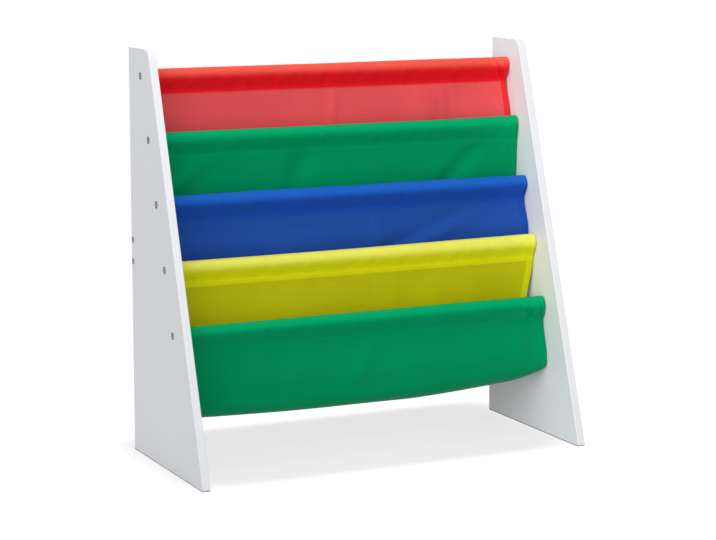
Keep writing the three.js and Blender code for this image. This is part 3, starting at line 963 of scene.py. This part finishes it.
def make_weave():
    """Group for a plain weave in the cloth's own coordinates, in metres. Cells one thread wide lie in
    a chequer: in one half the warp is on top, in the other the weft. Each thread is round across and
    dips at its ends: one less the square of the way from its middle. Slubs are noise drawn out along
    the threads. It puts out a colour, the threads' height and the slubs' streaks."""
    group, given, result = new_group(
        "plain_weave",
        [("Vector", "NodeSocketVector"), ("Color", "NodeSocketColor"), ("Pitch", "NodeSocketFloat"),
         ("Slub", "NodeSocketFloat")],
        [("Color", "NodeSocketColor"), ("Height", "NodeSocketFloat"), ("Streak", "NodeSocketFloat")])
    split = add_node(group, "ShaderNodeSeparateXYZ", Vector=given["Vector"])
    cells, rounds = [], []
    for axis in ("X", "Y"):
        threads = maths(group, "DIVIDE", split.outputs[axis], given["Pitch"])
        cells.append(maths(group, "FLOOR", threads))
        off_middle = maths(group, "MULTIPLY_ADD", maths(group, "FRACT", threads), 2.0, -1.0)
        rounds.append(maths(group, "SUBTRACT", 1.0, maths(group, "MULTIPLY", off_middle, off_middle)))
    weft_on_top = maths(group, "PINGPONG", maths(group, "ADD", cells[0], cells[1]), 1.0)
    lengthwise = []
    for over, along in ((rounds[0], rounds[1]), (rounds[1], rounds[0])):
        lengthwise.append(maths(group, "MULTIPLY", over, varied(group, along, least=0.55, spread=0.45)))
    height = add_node(group, "ShaderNodeMix", {"data_type": "FLOAT"},
                      Factor=weft_on_top, in_2=lengthwise[0], in_3=lengthwise[1]).outputs[0]
    streaks = []
    for scale in ((420, 9, 1), (9, 420, 1)):
        drawn_out = add_node(group, "ShaderNodeMapping", Vector=given["Vector"], Scale=scale).outputs[0]
        streaks.append(add_node(group, "ShaderNodeTexNoise", {"noise_dimensions": "2D"},
                                Vector=drawn_out, Scale=1.0, Detail=2.0).outputs[0])
    streak = maths(group, "SUBTRACT", maths(group, "ADD", streaks[0], streaks[1]), 1.0)
    gain = varied(group, streak, least=0.86, spread=given["Slub"])
    # Painted shade: the colour darkens from the threads' tops into the dips between them.
    gain = varied(group, height, least=gain, spread=0.22)
    group.links.new(scaled_colour(group, given["Color"], gain), result["Color"])
    group.links.new(height, result["Height"])
    group.links.new(streak, result["Streak"])
    return group


weave = make_weave()
thread_pitch = 0.0006
slub_strength = 0.08
streak_relief = 0.4


def make_cloth(name, free, backed, painted_highlight, sheen_colour, sheen_weight):
    """Woven polyester. The dye looks different where the cloth hangs free, with light or darkness
    behind it, and where it is backed by the rod in its sleeve or by its own hem. Over the top of the
    rod its colour is lightened to a painted highlight. The threads show as a weave with slubs, and
    their smooth fibres give a soft sheen."""
    material, tree, shader = new_finish(
        name, Specular_IOR_Level=0.22, Specular_Tint=from_screen(*sheen_colour), Sheen_Weight=sheen_weight,
        Sheen_Roughness=0.35, Sheen_Tint=from_screen(*sheen_colour))
    own = add_node(tree, "ShaderNodeUVMap", {"uv_map": "cloth"}).outputs[0]
    dyed = blended(tree, read_mark(tree, "backed"), from_screen(*free), from_screen(*backed))
    # A painted highlight over the top of each sleeve.
    dyed = blended(tree, read_mark(tree, "painted_highlight"), dyed, from_screen(*painted_highlight))
    uneven, cloud = add_mottle(tree, own, dyed, scale=22.0, amount=0.05)
    woven = add_node(tree, "ShaderNodeGroup", {"node_tree": weave},
                     Vector=own, Color=uneven, Pitch=thread_pitch, Slub=slub_strength)
    tree.links.new(woven.outputs["Color"], shader.inputs["Base Color"])
    tree.links.new(varied(tree, cloud, least=0.5, spread=0.12), shader.inputs["Roughness"])
    relief = varied(tree, woven.outputs["Streak"], least=woven.outputs["Height"], spread=streak_relief)
    add_relief(tree, shader, relief, strength=0.35, distance=0.00012)
    return material


def make_thread(name, colour):
    """Sewing thread in the cloth's colour: two twisted strands, as a fine slanting wave."""
    material, tree, shader = new_finish(
        name, Roughness=0.55, Specular_IOR_Level=0.22, Specular_Tint=from_screen(*colour))
    place = add_node(tree, "ShaderNodeTexCoord").outputs["Object"]
    dyed, _ = add_mottle(tree, place, from_screen(*colour), scale=260.0, amount=0.1)
    tree.links.new(dyed, shader.inputs["Base Color"])
    twist = add_node(tree, "ShaderNodeTexWave", {"bands_direction": "DIAGONAL"},
                     Vector=place, Scale=700.0, Distortion=0.6).outputs[0]
    add_relief(tree, shader, twist, strength=0.5, distance=0.00008)
    return material


# Each finish gives the free, the backed and the painted highlight colour, then the sheen's colour and weight.
green_cloth = make_cloth("cloth_green", (0, 134, 85), (0, 140, 88), (0, 159, 101), (40, 235, 165), 0.12)
green_thread = make_thread("thread_green", (0, 128, 80))
cloth_finishes = {
    "red": (make_cloth("cloth_red", (221, 79, 83), (225, 17, 33), (237, 86, 73), (255, 150, 130), 0.2),
            make_thread("thread_red", (215, 20, 30)), "cloth_red"),
    "green_upper": (green_cloth, green_thread, "cloth_green"),
    "blue": (make_cloth("cloth_blue", (34, 73, 155), (26, 70, 163), (30, 93, 188), (60, 150, 255), 0.12),
             make_thread("thread_blue", (26, 68, 152)), "cloth_blue"),
    "yellow": (make_cloth("cloth_yellow", (184, 180, 0), (216, 213, 0), (229, 227, 92), (255, 255, 190), 0.1),
               make_thread("thread_yellow", (200, 197, 10)), "cloth_yellow"),
    "green_lower": (green_cloth, green_thread, "cloth_green")}

# Stitches, 3.5 mm apart. Each is a short piece of thread that dips into the cloth at both ends, in
# rings at shares of its half length.
stitch_pitch = 0.0035
stitch_length = 0.0027
stitch_radius = 0.00024
stitch_sides = 6
stitch_rings = np.array([-1.0, -0.75, 0.0, 0.75, 1.0])
stitch_end = 0.02
stitch_rise = 0.75
stitch_sink = 1.1

# The seam is sewn this many points from either end of the sleeve, and the lap from the end of the
# strip. Both lines of stitches stop some stations short of the sides.
seam_stitch_line = 2
lap_stitch_line = 3
stitch_inset = 8


def stitch_shape():
    """One stitch about its own middle, along X and standing up along Z: five rings whose radius
    follows a half circle, on a centre line that sinks as the square of the way from the middle."""
    girth = stitch_radius * np.sqrt(np.clip(1 + stitch_end - stitch_rings ** 2, stitch_end, 1))
    lift = stitch_radius * (stitch_rise - stitch_sink * stitch_rings ** 2)
    angle = np.linspace(0, 2 * np.pi, stitch_sides, endpoint=False)
    index = np.arange(len(stitch_rings) * stitch_sides).reshape(-1, stitch_sides)
    x = np.broadcast_to(stitch_rings[:, None] * stitch_length / 2, index.shape)
    ring = np.stack([x, girth[:, None] * np.cos(angle), lift[:, None] + girth[:, None] * np.sin(angle)], -1)
    pole_x = stitch_length / 2 + girth[0] / 2
    points = np.concatenate([ring.reshape(-1, 3), [[-pole_x, 0, lift[0]], [pole_x, 0, lift[-1]]]])
    return points, closed_ring_faces(index), end_caps(index, index.size)


def stitch_line(line, normal):
    """Centres and axes of the stitches along a line on the cloth: evenly spaced by length, with the
    line's direction, the cloth's normal and the cross product of both."""
    step = np.linalg.norm(np.diff(line, axis=0), axis=1)
    length = np.concatenate([[0], np.cumsum(step)])
    place = np.arange(stitch_pitch / 2, length[-1] - stitch_pitch / 2, stitch_pitch)
    centre, up = (np.stack([np.interp(place, length, values[:, axis]) for axis in range(3)], -1)
                  for values in (line, normal))
    ahead = np.stack([np.interp(place + stitch_pitch / 4, length, line[:, axis]) for axis in range(3)], -1)
    along = unit(ahead - centre)
    up = unit(up - along * (up * along).sum(1, keepdims=True))
    return centre, np.stack([along, np.cross(up, along), up], 1)


def add_stitches(name, lines, material):
    """All the stitches of one cloth panel as one piece."""
    shape, quads, caps = stitch_shape()
    rows = [stitch_line(*line) for line in lines]
    centre = np.concatenate([c for c, _ in rows])
    axes = np.concatenate([a for _, a in rows])
    points = (centre[:, None] + shape[None] @ axes).reshape(-1, 3)
    start = (np.arange(len(centre)) * len(shape))[:, None, None]
    faces = (quads[None] + start).reshape(-1, 4).tolist() + (caps[None] + start).reshape(-1, 3).tolist()
    return add_piece(name, points, faces, material)


def nearest(values, wanted):
    """Number of the value that lies nearest to the wanted one."""
    return int(np.argmin(np.abs(values - wanted)))


for row, plan in enumerate(cloth_rows):
    middle, first_sleeve = strip_surface(row, across)
    middle, place = with_rounded_ends(middle)
    normal = surface_normals(middle)
    step = np.linalg.norm(np.diff(middle, axis=0), axis=2)
    length = np.concatenate([np.zeros((1, len(across))), np.cumsum(step, axis=0)])
    from_end = np.minimum(length, length[-1] - length)
    edge_round = rounded(from_side, side_edge_round)[None] * rounded(from_end, end_edge_round)
    in_hem = eased((hem_width - from_side) / hem_run)
    groove = stitch_groove * np.exp(-((from_side - hem_stitch) / groove_half_width) ** 2)
    outer = (cloth_thickness / 2 + hem_front_share * hem_extra * in_hem - groove)[None] * edge_round
    inner = (cloth_thickness / 2 + hem_extra * in_hem)[None] * edge_round
    face = middle + normal * outer[..., None]
    back = middle - normal * inner[..., None]
    points = shell_values(face, back)
    own_place = np.stack([np.broadcast_to(across, length.shape), length], -1)
    sleeve_end = first_sleeve + sleeve_points
    in_sleeve = (place >= first_sleeve) & (place < sleeve_end)
    backed = np.maximum(in_sleeve[:, None] * 1.0, in_hem[None] * hem_backing)
    # Painted highlight from its foot up to its top, over the rod's middle.
    above_foot = points[:, 2] - rod_z[row] - painted_highlight_foot[row]
    painted_highlight = eased(above_foot / (painted_highlight_top - painted_highlight_foot[row]))
    finish, thread, slot_name = cloth_finishes[plan["name"]]
    sling = add_piece(f"cloth_{plan['name']}", points, shell_faces(*length.shape).tolist(), finish,
                      marks={"backed": shell_values(backed, backed), "painted_highlight": painted_highlight},
                      uv=shell_values(own_place, own_place))
    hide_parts(plan["node"])

    # Hem stitches show on the face, and on the back of each hanging layer.
    columns = [nearest(across, side * (cloth_half_width - hem_stitch)) for side in (-1, 1)]
    lines = [(face[:, column], normal[:, column]) for column in columns]
    for wall in (np.flatnonzero(place < first_sleeve), np.flatnonzero(place >= sleeve_end)):
        if len(wall) > 1:
            lines += [(back[wall, column], -normal[wall, column]) for column in columns]
    inside = slice(stitch_inset, -stitch_inset)
    for seam_line in (first_sleeve + seam_stitch_line, sleeve_end - 1 - seam_stitch_line):
        line = nearest(place, seam_line)
        lines.append((face[line, inside], normal[line, inside]))
    if plan["front"] and plan["rear"]:
        lap = nearest(place, lap_stitch_line)
        lines.append((back[lap, inside], -normal[lap, inside]))
    if not plan["front"]:
        lap = nearest(place, place[-1] - lap_stitch_line)
        lines.append((face[lap, inside], normal[lap, inside]))
    stitches = add_stitches(f"stitches_{plan['name']}", lines, thread)


# Floor and light. A plain white floor that keeps the shadow, with a painted shadow under the shelf, a
# # white surround, a low light from the left, one from behind, and two soft boxes above.
floor_size = 7.0
floor_mesh = bpy.data.meshes.new("floor")
floor_corners = [(x * floor_size / 2, y * floor_size / 2, 0) for x, y in ((-1, -1), (1, -1), (1, 1), (-1, 1))]
floor_mesh.from_pydata(floor_corners, [], [(0, 1, 2, 3)])
floor = bpy.data.objects.new("floor", floor_mesh)
bpy.context.scene.collection.objects.link(floor)

# A painted shadow: the floor's white part is low under the shelf, in a rounded oblong with these half
# # sides, and grows outside it while the length of the fourth powers goes from the fade's start to its end.
floor_bounce = 0.55
floor_matt_part = 0.15
white_part_in_painted_shadow = 0.717
far_floor_white_part = 0.975
painted_shadow_y = 0.038
painted_shadow_width = 0.27
painted_shadow_depth = 0.140
painted_shadow_fade_start = 1.0
painted_shadow_fade_end = 2.9


def seen_rays(tree):
    """One for the camera's rays and for those that a gloss or clear surface sends on, and nought for
    the rays of the light that matt surfaces throw back."""
    path = add_node(tree, "ShaderNodeLightPath").outputs
    seen = maths(tree, "MAXIMUM", path["Is Camera Ray"], path["Is Glossy Ray"])
    return maths(tree, "MAXIMUM", seen, path["Is Transmission Ray"])


def squared(tree, vector):
    """Each part of a vector times itself."""
    node = add_node(tree, "ShaderNodeVectorMath", {"operation": "MULTIPLY"}, in_0=vector, in_1=vector)
    return node.outputs[0]


def make_floor_finish():
    """White floor: pale and matt for all the light that it throws back. The camera and reflections see
    a darker matt part that keeps the shadow, with plain white added, which together make white. The
    white part is lower in a rounded oblong under the shelf, a painted shadow, and grows outside it:
    the length of the fourth powers of the place, measured in the oblong's half sides."""
    material, tree, shader = new_finish("floor_white", Roughness=0.9, Specular_IOR_Level=0.0)
    seen = seen_rays(tree)
    pale = blended(tree, seen, (floor_bounce,) * 3 + (1,), (floor_matt_part,) * 3 + (1,))
    tree.links.new(pale, shader.inputs["Base Color"])
    shader.inputs["Emission Color"].default_value = (1, 1, 1, 1)
    place = add_node(tree, "ShaderNodeTexCoord").outputs["Object"]
    oblong = add_node(tree, "ShaderNodeMapping", Vector=place,
                      Location=(0, -painted_shadow_y / painted_shadow_depth, 0),
                      Scale=(1 / painted_shadow_width, 1 / painted_shadow_depth, 1)).outputs[0]
    fourths = squared(tree, squared(tree, oblong))
    away = add_node(tree, "ShaderNodeVectorMath", {"operation": "LENGTH"}, in_0=fourths).outputs["Value"]
    white = add_node(tree, "ShaderNodeMapRange", {"interpolation_type": "SMOOTHSTEP"}, Value=away,
                     From_Min=painted_shadow_fade_start, From_Max=painted_shadow_fade_end, To_Min=white_part_in_painted_shadow,
                     To_Max=far_floor_white_part).outputs[0]
    tree.links.new(maths(tree, "MULTIPLY", seen, white), shader.inputs["Emission Strength"])
    return material


floor_mesh.materials.append(make_floor_finish())

surround_level = 0.18
world = bpy.data.worlds.new("surround")
world.use_nodes = True
bpy.context.scene.world = world
surround = world.node_tree
level = add_node(surround, "ShaderNodeMix", {"data_type": "FLOAT"}, Factor=seen_rays(surround),
                 in_2=surround_level, in_3=1.0)
surround.nodes["Background"].inputs["Color"].default_value = (1, 1, 1, 1)
surround.links.new(level.outputs[0], surround.nodes["Background"].inputs["Strength"])


def add_lamp(name, kind, direction, strength, **settings):
    """A lamp that shines from its direction onto the shelf. A SUN's strength is the light that it gives
    to a white face turned to it. A soft box stands at the direction's end, as seen from the shelf's
    middle, and its strength is in watts."""
    data = bpy.data.lights.new(name, kind)
    data.energy = strength * (np.pi if kind == "SUN" else 1)
    for key, value in settings.items():
        setattr(data, key, value)
    lamp = bpy.data.objects.new(name, data)
    lamp.location = Vector(direction) + Vector((0, 0, rail_centre_z))
    lamp.rotation_euler = Vector(direction).to_track_quat("Z", "Y").to_euler()
    bpy.context.scene.collection.objects.link(lamp)


add_lamp("side_light", "SUN", (-1, -0.7, 0.3), 0.634, angle=np.radians(60))
add_lamp("back_light", "SUN", (1, 1.2, 0.3), 0.62, angle=np.radians(40))
add_lamp("left_soft_box", "AREA", (-0.25, 0, 1.2), 5.05, size=0.8)
add_lamp("front_soft_box", "AREA", (0.25, -1.4, 0.7), 9.7, size=0.8)


# Camera, at the photograph's angle: its heading and pitch, its place, the focal length for a 36 mm
# wide sensor, and a small shift that frames the shelf.
camera_data = bpy.data.cameras.new("camera")
camera_data.sensor_fit = "HORIZONTAL"
camera_data.sensor_width = 36
camera_data.lens = 108.92
camera_data.shift_y = -0.04
camera_data.clip_end = 100
camera = bpy.data.objects.new("camera", camera_data)
heading, pitch = 0.446719, 0.150399
camera.matrix_world = (Matrix.Rotation(-heading, 4, "Z") @ Matrix.Rotation(np.pi / 2 - pitch, 4, "X"))
camera.location = (-1.370265, -2.851788, 0.791938)
bpy.context.scene.collection.objects.link(camera)
bpy.context.scene.camera = camera
bpy.context.scene.view_settings.view_transform = "Standard"
